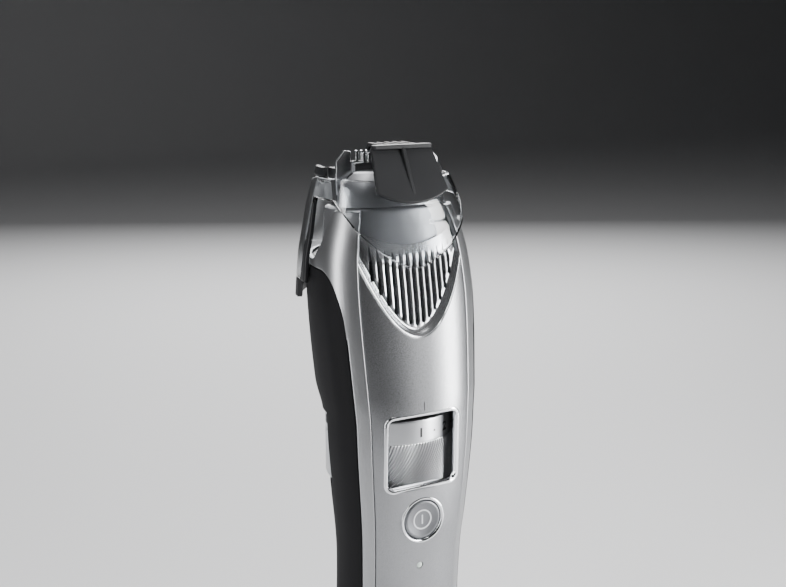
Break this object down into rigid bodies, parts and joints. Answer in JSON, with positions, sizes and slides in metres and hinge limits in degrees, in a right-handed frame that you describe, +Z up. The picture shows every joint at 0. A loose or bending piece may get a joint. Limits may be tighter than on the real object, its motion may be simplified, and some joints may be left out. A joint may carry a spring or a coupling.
{
  "type": "beard trimmer",
  "caption": "Upright cordless beard trimmer: painted front panel with vent grille, height dial behind a window, rubber grip, round button, and a clear comb over the blades.",
  "frame": {"origin": "centre of the flat foot, on the surface it stands on", "axes": "+Z up the handle to the blades, -Y the front with the dial window and button, +X to the right seen from the front"},
  "size_m": [0.0472, 0.0492, 0.1806],
  "materials": {
    "black_plastic": "fine matte",
    "charcoal_plastic": "matte",
    "steel": "plain",
    "motor_steel": "zinc plated",
    "brass": "plated",
    "painted_silver": "metallic satin",
    "rubber": "fine grain",
    "neck_grey": "satin",
    "chrome": "polished",
    "satin_silver": "satin",
    "clear": "clear polycarbonate",
    "board": "solder mask",
    "switch_plastic": "plain",
    "lamp": "frosted",
    "cell_wrap": "shrink wrap",
    "nylon": "natural",
    "copper": "windings",
    "blade_steel": "ground"
  },
  "bodies": {
    "housing": {"base_cap": "black_plastic", "base_screws": "steel", "inlet_pins": "brass", "lower_housing": "black_plastic", "upper_housing": "black_plastic", "shoulder_cover": "black_plastic", "chassis_tube": "black_plastic", "front_panel": "painted_silver", "side_frame": "painted_silver", "rear_grip": "rubber", "vent_grille": "painted_silver", "neck_cover": "neck_grey", "window_bezel": "chrome", "button_ring": "chrome", "button_seal": "rubber", "charge_lens": "clear", "circuit_board": "board", "tact_switch": "switch_plastic", "lamp_led": "lamp", "battery_cell": "cell_wrap", "battery_tabs": "steel", "motor_can": "motor_steel", "motor_end_cap": "nylon", "motor_terminals": "brass", "motor_magnets": "motor_steel", "stationary_blade": "blade_steel", "blade_base": "black_plastic", "blade_springs": "steel", "blade_screws": "steel", "detent_spring": "steel"},
    "power_button": {"power_button": "satin_silver"},
    "dial": {"dial_drum": "satin_silver", "number_ring": "satin_silver"},
    "lifter": {"lifter_carriage": "nylon", "comb_cradle": "black_plastic"},
    "comb": {"comb_frame": "clear", "comb_arms": "charcoal_plastic", "comb_guard": "charcoal_plastic"},
    "rotor": {"motor_armature": "copper", "motor_shaft": "steel", "eccentric_cam": "nylon"},
    "blade": {"drive_yoke": "nylon", "moving_blade": "blade_steel"}
  },
  "joints": [
    {"name": "button_press", "type": "slide", "parent": "housing", "child": "power_button", "axis": [0, 1, 0], "range_m": [0, 0.0008], "stiffness_N_per_m": 900},
    {"name": "dial_turn", "type": "hinge", "parent": "housing", "child": "dial", "pos_m": [0, 0.0021, 0.0979], "axis": [0, 0, -1], "range_deg": [-14, 252]},
    {"name": "comb_lift", "type": "slide", "parent": "housing", "child": "lifter", "axis": [0, 0, 1], "range_m": [-0.0005, 0.009]},
    {"name": "comb_off", "type": "slide", "parent": "lifter", "child": "comb", "axis": [0, 0, 1], "range_m": [0, 0.05]},
    {"name": "motor_spin", "type": "hinge", "parent": "housing", "child": "rotor", "pos_m": [0, 0.0021, 0.14], "axis": [0, 0, 1], "continuous": true},
    {"name": "blade_stroke", "type": "slide", "parent": "housing", "child": "blade", "axis": [1, 0, 0], "range_m": [-0.001, 0.001]}
  ],
  "couplings": [
    {"joint": "comb_lift", "follows": "dial_turn", "m_per_rad": 0.0020463}
  ]
}
